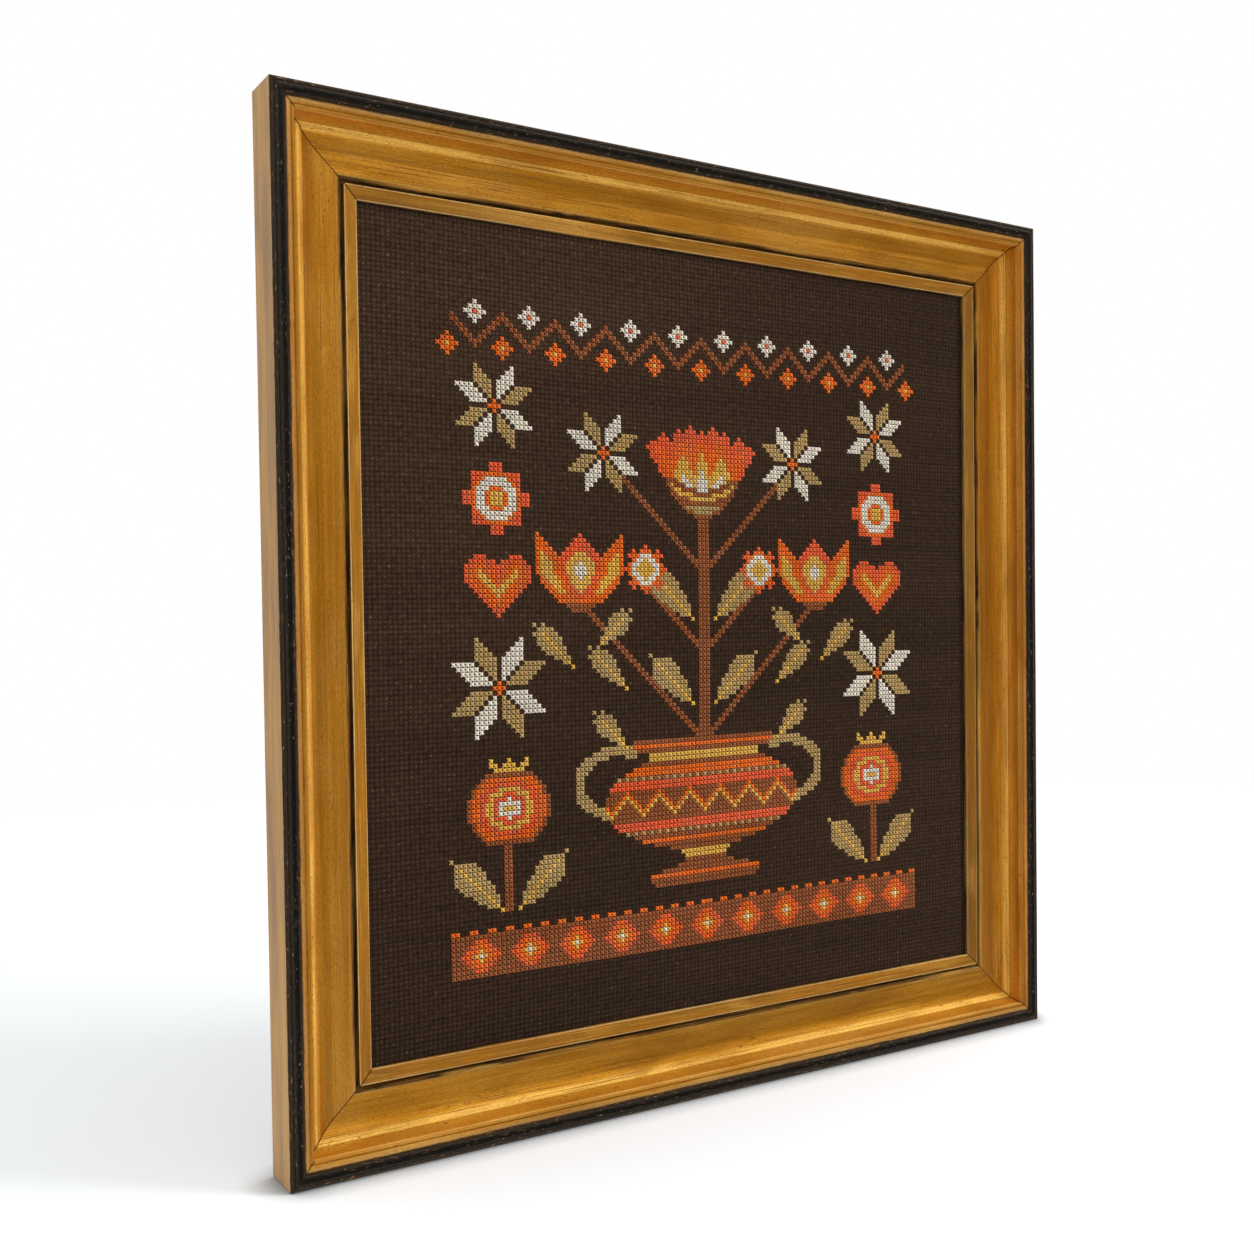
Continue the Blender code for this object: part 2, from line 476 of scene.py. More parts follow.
gildTones = {                             # linear colour of each finish, and how metallic it is
    "raw": ((0.53, 0.305, 0.120), 0.0),
    "arris": ((0.026, 0.016, 0.008), 0.0),
    "quirk": ((0.022, 0.016, 0.011), 0.0),
    "bead": ((0.0035, 0.0026, 0.0014), 0.0),
    "shoulder": ((0.018, 0.011, 0.005), 0.0),
    "step": ((0.055, 0.027, 0.008), 0.1),
    # painted highlight: the pale line along the edge of the step down to the gold
    "tan": ((0.50, 0.285, 0.095), 0.45),
    "lip": ((0.50, 0.235, 0.026), 0.65),
    "groove": ((0.30, 0.105, 0.008), 0.6),
    # rubbed gilt with a painted highlight: the thin bright line along the lip's arris
    "rubbed": ((0.84, 0.50, 0.13), 0.25),
    "wall": ((0.74, 0.34, 0.030), 0.70),
    # paler, less metallic gold on the ridge: rubbed gilt, and partly a painted highlight
    "ridge": ((1.0, 0.575, 0.108), 0.36),
    "scoop": ((0.70, 0.295, 0.016), 0.9),
    "face": ((0.71, 0.312, 0.025), 0.9),
    "faceEdge": ((0.56, 0.29, 0.055), 0.7),
    # near black in the gap between moulding and slip and on hidden faces: a dark stain, deepened as painted
    # shade of that recess
    "gap": ((0.008, 0.0035, 0.001), 0.0),
    "slipFace": ((0.265, 0.112, 0.010), 0.10),
    # painted highlight: the pale lines along the slip's rounded edges
    "slipEdge": ((0.60, 0.40, 0.17), 0.1),
}
paintFinishes = ("arris", "quirk", "bead", "shoulder", "raw")
flatFinishes = ("ridge", "scoop", "face", "slipFace")     # where the long grain shows
rubShare = {"arris": 1.0, "quirk": 0.15, "bead": 0.2, "shoulder": 0.8}    # how much paint is rubbed through

gildWear = {                              # linear colours of what shows through, and of the dirt
    "toned": (0.40, 0.145, 0.004),        # deeper and paler gold
    "pale": (0.80, 0.43, 0.085),
    "ground": (0.080, 0.029, 0.006),      # in the pits
    "grain": (0.13, 0.052, 0.006),
    "streak": (0.045, 0.034, 0.023),      # in the black paint: brush streaks, rubbed wood and dust
    "chip": (0.20, 0.105, 0.045),
    "fleck": (0.42, 0.31, 0.21),
    "dirt": (0.034, 0.014, 0.004),
    "handled": (0.30, 0.185, 0.108),
    "endDark": (0.06, 0.03, 0.012),       # bare wood inside the mitres, painted dark as the shade in the mitre gap
    "endPale": (0.17, 0.09, 0.04),
    "mitreDirt": 0.26 * mm,               # how far the dirt reaches from each mitre
}
gildPatterns = {                          # scale along and round the section, detail, roughness, warp
    "fine": ((700, 1100, 0), 4.0, 0.65),
    "slow": ((110, 500, 0),),
    "cloudy": ((22, 85, 0), 3.0, 0.55, 0.5),
    "brushed": ((30, 1300, 0), 3.0, 0.6),
    "bands": ((7, 420, 0),),
    "aged": ((9, 38, 0), 2.0, 0.5, 0.4),
    "grain": ((13, 1500, 0), 4.0, 0.62, 0.3),
    "grainPatch": ((16, 110, 0),),
    "mottle": ((520, 1500, 0), 3.0, 0.7),
}
gildLayers = (                            # pattern, start and end, greatest share, colour, flat parts only
    ("cloudy", 0.45, 0.68, 0.5, "toned", False),
    ("cloudy", 0.42, 0.26, 0.35, "pale", False),
    ("bands", 0.46, 0.68, 0.5, "toned", True),
    ("brushed", 0.52, 0.76, 0.45, "pale", False),
    ("aged", 0.54, 0.74, 0.32, "grain", False),
    ("aged", 0.47, 0.29, 0.42, "pale", False),
)
gildMarks = {                             # scale of the marks and of their patches, start and end
    "pits": ((640, 1150), (34, 140), 0.64, 0.665),
    "knocks": ((150, 1300), (55, 190), 0.645, 0.68),
    "chips": ((260, 900), (18, 60), 0.60, 0.65),
    "dust": ((420, 1900), (40, 300), 0.66, 0.72),
    "streaks": ((34, 1700), (12, 200), 0.58, 0.76),
}
gildRelief = {                            # depth and strength
    "marks": (0.12 * mm, 0.8),
    "brushed": (0.05 * mm, 0.6),
    "cloudy": (0.5 * mm, 0.35),
    "wood": (0.15 * mm, 0.6),
}


def frontRange(outline):
    # first and last point of the part of a section that runs inwards across the front
    last = int(np.argmax(outline[:, 0]))
    first = int(np.nonzero(outline[:last, 0] <= outline[0, 0] + 0.01 * mm)[0][-1])
    return first, last


def arcAt(outline, arc, inward):
    first, last = frontRange(outline)
    return float(np.interp(inward * mm, outline[first:last + 1, 0], arc[first:last + 1]))


def finishRamp(tree, where, outline, arc, settings, valueOf, way="LINEAR"):
    # value of the finish at each place round the section; in steps, only the changes are kept
    first, last = frontRange(outline)
    places = [(0.0, settings["side"]), (float(arc[first]) - 0.5 * mm, settings["side"])]
    places += [(arcAt(outline, arc, inward), finish) for inward, finish in settings["finishes"]]
    places += [(float(arc[last]) + beyond * mm, finish) for beyond, finish in settings["behind"]]
    stops = []
    for place, finish in places:
        value = valueOf(finish)
        if way == "LINEAR" or not stops or stops[-1][1] != value:
            stops.append((max(0.0, place / float(arc[-1])), value))
    return ramp(tree, where, stops, way)


def rawWood(tree, place, tone):
    lines = noise(tree, place, (16, 1100, 0), 4.0, 0.6, 0.4)
    bands = noise(tree, place, (3, 120, 0))
    handled = noise(tree, place, (11, 70, 0), 4.0, 0.6, 0.6)
    dark = tuple(part * 0.62 for part in tone)
    pale = tuple(min(1.0, part * 1.16) for part in tone)
    colour = ramp(tree, lines, ((0.3, dark), (0.52, tone), (0.72, pale)))
    colour = tinted(tree, colour, bands, 0.35, 0.7, 0.28, dark)
    return tinted(tree, colour, handled, 0.44, 0.64, 0.8, gildWear["handled"]), lines


def flecks(tree, place, grainSize, patchSize, start, end, most):
    # share of a scattered mark: a sharp fine noise that comes and goes with a slow one
    fine = noise(tree, place, (*grainSize, 0), 2.0, 0.55, 0.2)
    patch = noise(tree, place, (*patchSize, 0))
    return times(tree, ramp(tree, fine, ((start, 0.0), (end, 1.0))),
                 spread(tree, patch, 0.42, 0.64, 0.12 * most, most))


def mitreWood():
    # bare end of the wood inside each mitre, painted dark as the shade within the gap
    mat, tree, shader = startMaterial("mitreWood", {"Roughness": 0.85, "Specular IOR Level": 0.2})
    pores = noise(tree, objectPlace(tree), (900, 300, 900), 4.0, 0.6)
    tone = ramp(tree, pores, ((0.35, gildWear["endDark"]), (0.65, gildWear["endPale"])))
    dress(tree, shader, tone, bumped(tree, pores, *gildRelief["wood"]))
    return mat


def gildedMaterial(name, outline, arc, settings):
    mat, tree, shader = startMaterial(name, {
        "IOR": 1.45, "Specular IOR Level": 0.1, "Coat Weight": 0.09, "Coat Roughness": 0.3})
    worn = settings["wear"]
    place = attribute(tree, "place")
    _, around, toMitre = parts(tree, place)
    pattern = {key: noise(tree, place, *made) for key, made in gildPatterns.items()}
    mark = {key: flecks(tree, place, *made, worn[key]) for key, made in gildMarks.items()}
    # ragged edges of the paints: the section coordinate wanders a little
    steadyFrom = arcAt(outline, arc, settings["steadyFrom"])
    steady = spread(tree, around, steadyFrom, steadyFrom + 1.0 * mm, 1.0, 0.2)
    wander = maths(tree, "ADD", about(tree, pattern["fine"], settings["wander"][0]),
                   about(tree, pattern["slow"], settings["wander"][1]))
    wander = times(tree, wander, steady)
    where = maths(tree, "DIVIDE", maths(tree, "ADD", around, wander), float(arc[-1]))

    def byFinish(valueOf, way="LINEAR"):
        return finishRamp(tree, where, outline, arc, settings, valueOf, way)

    tone = byFinish(lambda finish: gildTones[finish][0])
    metal = byFinish(lambda finish: gildTones[finish][1])
    gold = byFinish(lambda finish: float(finish not in paintFinishes), "CONSTANT")
    flat = byFinish(lambda finish: float(finish in flatFinishes), "CONSTANT")
    raw = byFinish(lambda finish: float(finish == "raw"), "CONSTANT")
    # clouds, bands, brush streaks and age in the gold
    gilt = tone
    for key, start, end, most, colour, flatOnly in gildLayers:
        share = spread(tree, pattern[key], start, end, 0.0, most)
        if flatOnly:
            share = times(tree, share, flat)
        gilt = mixed(tree, share, gilt, gildWear[colour])
    # long dark grain lines on the flat parts
    grainLines = ramp(tree, pattern["grain"], ((0.395, 1.0), (0.45, 0.0)))
    grainShare = times(tree, times(tree, grainLines, flat),
                       spread(tree, pattern["grainPatch"], 0.36, 0.58, 0.18, worn["grain"]))
    gilt = mixed(tree, grainShare, gilt, gildWear["grain"])
    # fine mottling of the leaf, then painted shade: each length's gold is darkened towards brown by its own
    # share, on the gold alone
    gilt = tinted(tree, gilt, pattern["mottle"], 0.42, 0.66, worn["mottle"], gildWear["grain"])
    paintedSideShadeShare = times(tree, attribute(tree, "paintedSideShade"), spread(tree, metal, 0.0, 0.08))
    gilt = mixed(tree, paintedSideShadeShare, gilt, settings["paintedSideShadeColour"])
    # pits and short knocks down to the dark ground
    pits = maths(tree, "MAXIMUM", mark["pits"], mark["knocks"])
    gilt = mixed(tree, pits, gilt, gildWear["ground"])
    # black paint, rubbed through to brown wood, with pale dust in it
    chips = times(tree, mark["chips"], byFinish(lambda finish: rubShare.get(finish, 0.0)))
    paint = mixed(tree, mark["streaks"], tone, gildWear["streak"])
    paint = mixed(tree, chips, paint, gildWear["chip"])
    paint = mixed(tree, mark["dust"], paint, gildWear["fleck"])
    wood, woodLines = rawWood(tree, place, gildTones["raw"][0])
    colour = mixed(tree, gold, paint, gilt)
    colour = mixed(tree, raw, colour, wood)
    # dirt packed along the mitres
    mitreEdge = maths(tree, "ADD", toMitre, about(tree, pattern["fine"], 0.5 * mm))
    mitreShare = spread(tree, mitreEdge, 0.2 * gildWear["mitreDirt"], gildWear["mitreDirt"], 0.85, 0.0)
    colour = mixed(tree, mitreShare, colour, gildWear["dirt"])
    # only sound gold is metal
    cut = maths(tree, "MAXIMUM", pits, grainShare)
    sound = maths(tree, "SUBTRACT", 1.0, maths(tree, "MAXIMUM", cut, mitreShare))
    wire(tree, shader.inputs["Metallic"], times(tree, metal, sound))
    goldRough = spread(tree, pattern["brushed"], 0.3, 0.7, *settings["rough"])
    goldRough = maths(tree, "ADD", goldRough, spread(tree, pattern["cloudy"], 0.3, 0.7, -0.05, 0.07))
    rough = mixed(tree, gold, spread(tree, chips, 0.0, 1.0, 0.36, 0.75), goldRough)
    rough = mixed(tree, raw, rough, (0.72, 0.72, 0.72))
    wire(tree, shader.inputs["Roughness"], rough)
    sunk = maths(tree, "MAXIMUM", cut, times(tree, chips, 0.8))
    normal = bumped(tree, maths(tree, "SUBTRACT", 1.0, sunk), *gildRelief["marks"])
    for key in ("brushed", "cloudy"):
        normal = bumped(tree, pattern[key], *gildRelief[key], normal)
    normal = bumped(tree, times(tree, woodLines, raw), *gildRelief["wood"], normal)
    dress(tree, shader, colour, normal)
    return mat


waviness = {                              # unevenness left by hand along each length
    "count": 4,
    "length": (0.05, 0.19),
    "phase": (0, 6.28),
    "slant": (60, 160),                   # radians for each metre round the section
}


def handWork(settings, order, outline, arc):
    # gentle waves along the length, and dents at seeded places on the front
    rng = np.random.default_rng(settings["seed"] + order)
    waves = []
    for _ in range(waviness["count"]):
        waves.append([rng.uniform(*waviness[key]) for key in ("length", "phase", "slant")])
    halfAlong = sides[order][3]
    count = settings["dents"]
    arcFrom, arcTo = (arcAt(outline, arc, inward) for inward in settings["dentsBetween"])
    dents = np.stack((
        rng.uniform(-halfAlong, halfAlong, count), rng.uniform(arcFrom, arcTo, count),
        rng.uniform(*settings["dentDepth"], count), rng.uniform(*settings["dentLength"], count),
        rng.uniform(*settings["dentWidth"], count)), 1)

    def push(along, around):
        moved = np.zeros(along.shape)
        for length, phase, cross in waves:
            moved += np.sin(along * 2 * math.pi / length + phase + around * cross)
        moved *= settings["waveHeight"] / len(waves)
        for dentAlong, dentArc, depth, length, width in dents:
            off = ((along - dentAlong) / length) ** 2 + ((around - dentArc) / width) ** 2
            moved -= depth * np.exp(-off)
        return moved

    return push


def addSides(settings, pieceName, nodeName):
    # four mitred lengths, each in place of its node
    section = sectionOutline(settings["start"], settings["stretches"])
    mats = (gildedMaterial(pieceName + "Gilt", *section, settings), mitreWood())
    for order, (side, *_) in enumerate(sides):
        push = handWork(settings, order, *section)
        piece = sweepSide(pieceName + "_" + side, order, section, push, settings["lengthSteps"], mats)
        # painted shade: the share by which this length is darkened
        storeVector(piece, "paintedSideShade", np.full((len(piece.data.vertices), 3), settings["paintedSideShade"][order]))
        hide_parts(nodeName + "_" + side)


addSides(moulding, "moulding", "rail")
print("moulding ready")


# Slip: thin gilded fillet whose rounded edges are painted paler, as highlights

slip = {
    "start": (28.3, 19.2),
    "stretches": (                        # inward, depth, bulge, steps
        (28.3, 17.9, 0.0, 1),
        (35.8, 17.9, 0.0, 2),             # flange under the moulding
        (35.8, 15.5, 0.0, 2),
        (36.4, 15.15, 0.1, 4),            # rounded outer edge
        (41.7, 16.7, 0.1, 8),             # sloping face
        (42.3, 17.2, 0.12, 4),            # rounded inner edge
        (42.3, 19.2, 0.0, 2),
    ),
    "side": "gap",
    "finishes": (                         # the finish at each place, mm inward
        (28.4, "gap"), (36.0, "gap"), (36.15, "slipEdge"), (36.4, "slipEdge"), (36.6, "slipFace"),
        (41.7, "slipFace"), (41.95, "slipEdge"), (42.15, "slipEdge"),
    ),
    "behind": ((0.7, "gap"),),
    "wander": (0.3 * mm, 0.25 * mm),
    "steadyFrom": 42.0,
    "wear": {"grain": 0.6, "mottle": 0.3, "pits": 0.6, "knocks": 0.6,
             "chips": 0.6, "dust": 0.3, "streaks": 0.3},
    # painted shade on the slip: how far each length is darkened; bottom, right, top, left
    "paintedSideShade": (0.20, 0.50, 0.22, 0.0),
    "paintedSideShadeColour": (0.075, 0.028, 0.003),
    "rough": (0.32, 0.46),
    "lengthSteps": 190,
    "waveHeight": 0.04 * mm,
    "dents": 16,
    "dentsBetween": (36.0, 42.0),
    "dentDepth": (0.04 * mm, 0.14 * mm),
    "dentLength": (1.2 * mm, 3.0 * mm),
    "dentWidth": (0.3 * mm, 0.7 * mm),
    "seed": 23,
}
addSides(slip, "slip_strip", "slip")
print("slip ready")


# Cloth: even-weave with one cell for each stitch, threads raised over and under in turn

cloth = {
    "cells": (157, 169),                   # across and up the opening
    "sight": 42.3 * mm,                    # from the frame's edge to the opening
    "threadRise": 0.34 * mm,
    "threadLap": 0.22,                     # share of the cell from its edge to the thread's crown
    "depth": 0.05 * mm,                    # of the hollows, behind the sheet's front
    "crownShift": 0.05,                    # of a cell, each way
    "riseSpread": (0.8, 1.1),
    "wander": 0.32 * mm,                   # the weave isn't quite straight
    "steadyCells": 8,                      # the wander fades out over these towards the edge
    "yarns": 4,                            # in each thread
    "crown": (0.0350, 0.0210, 0.0136),     # linear colours, from the top of a thread down: painted light on the crowns, painted shade in the hollows
    "body": (0.0243, 0.0126, 0.0070),
    "hollow": (0.0140, 0.0070, 0.0038),
    "lint": (0.085, 0.056, 0.038),
    "paintedUpperLeftLight": 1.6,                          # painted light: how much paler the cloth is made in its upper left corner
    "seed": 5,
}
clothLow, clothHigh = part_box("cloth")
cellsAcross, cellsUp = cloth["cells"]
middleColumn = cellsAcross // 2
openingWidth = frameWidth - 2 * cloth["sight"]
openingHeight = frameHeight - 2 * cloth["sight"]
pitchAcross = openingWidth / cellsAcross
pitchUp = openingHeight / cellsUp
clothFront = clothLow.y
hollowDepth = clothFront + cloth["depth"]


def weavePoint(column, row):
    # where a corner of the weave lies; it stays put at the edge of the opening
    x = -openingWidth / 2 + column * pitchAcross
    z = cloth["sight"] + row * pitchUp
    edge = np.minimum(1, np.minimum(np.minimum(column, cellsAcross - column),
                                    np.minimum(row, cellsUp - row)) / cloth["steadyCells"])
    dx = np.sin(row * 0.071 + 1.3) + 0.6 * np.sin(row * 0.023 + column * 0.05)
    dz = np.sin(column * 0.063 + 0.4) + 0.6 * np.sin(column * 0.027 + row * 0.045 + 2.1)
    return x + dx * edge * cloth["wander"], z + dz * edge * cloth["wander"]


def clothMaterial():
    mat, tree, shader = startMaterial("brownEvenWeave", {
        "Roughness": 0.95, "Specular IOR Level": 0.05, "Sheen Weight": 0.05, "Sheen Roughness": 0.5,
        "Sheen Tint": (0.8, 0.62, 0.5)})
    weave = attribute(tree, "weave")       # column, row, height of the thread
    column, row, height = parts(tree, weave)
    # painted light and shade: lighter where the threads stand up, darker in the hollows between them
    colour = ramp(tree, height, ((0.05, cloth["hollow"]), (0.45, cloth["body"]), (1.0, cloth["crown"])))
    # single yarns run through the opening, each a little lighter or darker
    rows = noise(tree, weave, (0.03, 1.7, 0))
    columns = noise(tree, weave, (1.7, 0.03, 0))
    streaks = noise(tree, weave, (0.012, 0.09, 0), 3.0)
    fuzz = noise(tree, weave, (6, 6, 0), 3.0, 0.7)
    uneven = noise(tree, weave, (0.83, 0.79, 0), 2.0, 0.6)
    tone = spread(tree, rows, 0.25, 0.75, 0.86, 1.14)
    tone = maths(tree, "ADD", tone, spread(tree, columns, 0.25, 0.75, -0.1, 0.1))
    for pattern, reach in ((streaks, 0.12), (fuzz, 0.16), (uneven, 0.26)):
        tone = maths(tree, "ADD", tone, spread(tree, pattern, 0.3, 0.7, -reach, reach))
    # painted light: the cloth is made paler towards its upper left
    up = maths(tree, "DIVIDE", row, cellsUp)
    across = maths(tree, "DIVIDE", column, cellsAcross)
    paintedUpperLeftLight = spread(tree, maths(tree, "SUBTRACT", up, across), 0.0, 0.9, 1.0, cloth["paintedUpperLeftLight"])
    # halved here and doubled after the mix, because the tone runs past one
    tone = times(tree, times(tree, tone, paintedUpperLeftLight), 0.5)
    specks = noise(tree, scaled(tree, weave, (0.97, 0.93, 0), (7, 3, 0)), 1.0, 2.0, 0.6)
    specks = times(tree, ramp(tree, specks, ((0.63, 0.0), (0.69, 0.7))), height)
    colour = mixed(tree, specks, colour, cloth["lint"])
    toned = mixed(tree, 1.0, colour, tone, "MULTIPLY")
    toned = mixed(tree, 1.0, toned, (2.0, 2.0, 2.0), "MULTIPLY")
    # fine yarns inside each thread
    yarnsUp, yarnsAcross = (maths(tree, "SINE", times(tree, spot, 2 * math.pi * cloth["yarns"]))
                            for spot in (column, row))
    normal = bumped(tree, maths(tree, "ADD", yarnsUp, yarnsAcross), 0.03 * mm, 0.6)
    dress(tree, shader, toned, bumped(tree, fuzz, 0.08 * mm, 0.8, normal))
    return mat


def addCloth():
    column, row = np.meshgrid(np.arange(cellsAcross + 1), np.arange(cellsUp + 1))
    cornerX, cornerZ = weavePoint(column.astype(float), row.astype(float))
    flat = np.stack((cornerX, np.full(cornerX.shape, hollowDepth), cornerZ), -1).reshape(-1, 3)
    cellColumn, cellRow = np.meshgrid(np.arange(cellsAcross), np.arange(cellsUp))
    over = (cellColumn + cellRow) % 2 == 0          # the upright thread is on top
    rng = np.random.default_rng(cloth["seed"])
    lap = cloth["threadLap"]
    shift = cloth["crownShift"]
    crowns = []
    for end in (lap, 1 - lap):
        u = np.where(over, 0.5, end) + rng.uniform(-shift, shift, over.shape)
        v = np.where(over, end, 0.5) + rng.uniform(-shift, shift, over.shape)
        x, z = weavePoint(cellColumn + u, cellRow + v)
        rise = cloth["threadRise"] * rng.uniform(*cloth["riseSpread"], over.shape)
        crowns.append(np.stack((x, hollowDepth - rise, z), -1).reshape(-1, 3))
    wide = cellsAcross + 1
    cornerCount = len(flat)
    cellCount = over.size
    faces = []
    for index, upright in enumerate(over.ravel().tolist()):
        a = index // cellsAcross * wide + index % cellsAcross
        b, c, d = a + 1, a + wide + 1, a + wide
        p = cornerCount + index
        q = p + cellCount
        if upright:
            faces += [(a, b, p), (c, d, q), (a, p, q, d), (b, c, q, p)]
        else:
            faces += [(d, a, p), (b, c, q), (a, b, q, p), (c, d, p, q)]
    # hidden margin, edge and back
    ring = list(range(wide))
    ring += [cellsAcross + wide * k for k in range(1, cellsUp + 1)]
    ring += [cellsUp * wide + k for k in range(cellsAcross - 1, -1, -1)]
    ring += [wide * k for k in range(cellsUp - 1, 0, -1)]
    inner = flat[ring]
    centre = Vector(((clothLow.x + clothHigh.x) / 2, 0, (clothLow.z + clothHigh.z) / 2))
    stretchX = (clothHigh.x - clothLow.x) / openingWidth
    stretchZ = (clothHigh.z - clothLow.z) / openingHeight
    outer = np.stack((centre.x + (inner[:, 0] - centre.x) * stretchX,
                      np.full(len(ring), hollowDepth),
                      centre.z + (inner[:, 2] - centre.z) * stretchZ), 1)
    back = outer.copy()
    back[:, 1] = clothHigh.y
    start = cornerCount + 2 * cellCount
    count = len(ring)
    for k in range(count):
        j = (k + 1) % count
        faces.append((ring[j], ring[k], start + k, start + j))
        faces.append((start + j, start + k, start + count + k, start + count + j))
    faces.append(tuple(start + count + k for k in range(count))[::-1])
    points = np.concatenate((flat, *crowns, outer, back))
    piece = addPiece("even_weave", points, faces, clothMaterial(), smoothAngle=80)
    across = (points[:, 0] + openingWidth / 2) / pitchAcross
    up = (points[:, 2] - cloth["sight"]) / pitchUp
    height = np.zeros(len(points))
    height[cornerCount:start] = 1.0
    storeVector(piece, "weave", np.stack((across, up, height), 1))
    return piece


clothPiece = addCloth()
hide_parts("cloth")
print("cloth ready")


# Sampler design: one letter for each stitch, drawn from the middle out and mirrored

threads = {                                # linear colour of each thread
    "W": ("white", (0.70, 0.625, 0.51)),
    "T": ("tan", (0.42, 0.27, 0.096)),
    "O": ("orange", (0.72, 0.125, 0.004)),
    "C": ("coral", (0.71, 0.095, 0.024)),
    "Y": ("yellow", (0.68, 0.38, 0.057)),
    "B": ("rust", (0.27, 0.072, 0.015)),
}

charts = {                                 # left half with the middle column, top row first
    "tulip": """
    O.........C
    OO.......CC
    OOO.....CCC
    OOOO...CCCC
    OYOOO.CCCYY
    OYYOOOCCYYY
    OYYYOOCYYYW
    OYYYOOCYYWW
    OYYYOOCYYWW
    .OYYYOOCYYW
    .OOYYYOCYYY
    ..OOYYOOCYY
    ...OOYYOCCY
    ....OOOOOCC
    .....OOOOOO
    .......BBBB
    ........BBB""",
    "carnation": """
    ...........C...
    ........C.CCC.C
    ....C..CCCCCCCC
    ...CCC.CCCOCCCC
    .CCCCCCCOOOCCOO
    CCCOCCCCOOOOCOO
    .CCOOCCOOOOOOOY
    .CCCOOCOOYOOOOY
    ..CCOOOOYYYOOYY
    ...COOOOYYYOOYY
    ...CCOOYYYYYOYW
    ....COOYYWYYYYW
    .....BBBYWWYYWW
    .....BYBBBWWYWW
    ......BYYBBBBWW
    ......BBYYYYBBB
    .......BBBBYYYY
    ........BBBBBBB
    .........BTTTTT
    ..........BBTTT
    ............BBB""",
    "pomegranate": """
    .....Y...Y
    .....YY.YY
    ......YYYY
    ....BBBBBB
    ...BOOOOOO
    ..BOOOCCCC
    .BOOCCCYYY
    .BOCCYYYCC
    BOOCCYCCCW
    BOOCYYCWWW
    BOOCYYCWYY
    BOOCYYCWWW
    BOOCCYCCCW
    .BOCCYYYCC
    .BOOCCCYYY
    ..BOOOCCCC
    ...BOOOOOO
    ....BBBBBB""",
    "heart": """
    ..CCC...
    .CCOCCC.
    CCOOOCCC
    COOYOOCC
    COOYYOOC
    COOOYYOO
    .COOOYYO
    ..COOOYY
    ...COOOY
    ....COOO
    .....COO
    ......CC
    .......C""",
}


def putStitch(chart, x, y, mark):
    # x counts from the middle column, and each stitch has its mirror image
    if mark in threads:
        chart[(middleColumn + x, y)] = mark
        chart[(middleColumn - x, y)] = mark


def drawChart(chart, name, x, y):
    lines = charts[name].split()[::-1]
    for up, line in enumerate(lines):
        for across, mark in enumerate(line + line[-2::-1]):
            putStitch(chart, x + across - len(line) + 1, y + up, mark)


def drawStar(chart, x, y, half, marks):
    # eight lozenges round a heart of five stitches
    for a in range(-2 * half, 2 * half + 1):
        for b in range(-2 * half, 2 * half + 1):
            far, near = max(abs(a), abs(b)), min(abs(a), abs(b))
            if near and far != near and near <= half and far - near <= half:
                turning = (abs(a) > abs(b)) == (a * b > 0)
                putStitch(chart, x + a, y + b, marks[0] if turning else marks[1])
            if far + near <= 1:
                putStitch(chart, x + a, y + b, marks[2])


def drawDiamond(chart, x, y, marks):
    reach = len(marks) - 1
    for a in range(-reach, reach + 1):
        for b in range(abs(a) - reach, reach - abs(a) + 1):
            putStitch(chart, x + a, y + b, marks[abs(a) + abs(b)])


def drawRosette(chart, x, y, reach, marks):
    # round flower with eight petals; marks run from the heart out
    for a in range(-reach, reach + 1):
        for b in range(-reach, reach + 1):
            far = math.hypot(a, b)
            petal = abs(math.cos(4 * math.atan2(b, a)))
            ring = int(far * len(marks) / (reach + 0.4))
            if far <= reach - 1.9 + 2.2 * petal ** 0.6:
                putStitch(chart, x + a, y + b, marks[min(len(marks) - 1, ring)])


def drawFrond(chart, x, y, way, length):
    # slanting leaf in tan with a yellow vein
    for k in range(length):
        share = k / (length - 1)
        half = round(length * 0.36 * math.sin(math.pi * min(1, share + 0.12)) ** 0.8)
        for a in range(-half, half + 1):
            putStitch(chart, x + way * (k + max(a, 0)), y + k + max(-a, 0), "T")
    for k in range(-1, length - 2):
        putStitch(chart, x + way * k, y + k, "Y")


def drawRod(chart, x, y, stepX, stepY, count):
    for k in range(count):
        putStitch(chart, x + stepX * k, y + stepY * k, "B")
        putStitch(chart, x + stepX * k + (stepX == 0), y + stepY * k + (stepX != 0), "B")


def drawUrn(chart, y):
    # half width and thread of each row, from the foot up
    halves = (13, 14, 14, 11, 7, 5, 5, 6, 9, 13, 16, 18, 20, 22, 23, 24, 24, 25, 25, 25, 25, 24, 24, 23, 22,
              20, 18, 16, 14, 14, 17, 18, 18)
    marks = "BBOBBBYYBBOBBCCBBBBBBBCCBOOBYYBOB"
    for up, (half, mark) in enumerate(zip(halves, marks)):
        for x in range(half + 1):
            wave = abs((x + 4) % 8 - 4) + 16
            if 15 <= up <= 21 and up in (wave, wave + 1):
                putStitch(chart, x, y + up, "Y" if up == wave else "O")
            elif up in (12, 24) and x % 2 == 0:
                putStitch(chart, x, y + up, "T")
            else:
                putStitch(chart, x, y + up, mark)
    steps = 240
    for step in range(steps):              # handles
        angle = math.pi * (1.15 * step / (steps - 1) - 0.5)
        x = round(22 + 9.4 * math.cos(angle))
        for up in (0, 1):
            spot = round(y + 23 + 6.8 * math.sin(angle)) + up
            for out in (0, 1):
                if (middleColumn + x + out, spot) not in chart:
                    putStitch(chart, x + out, spot, "T")


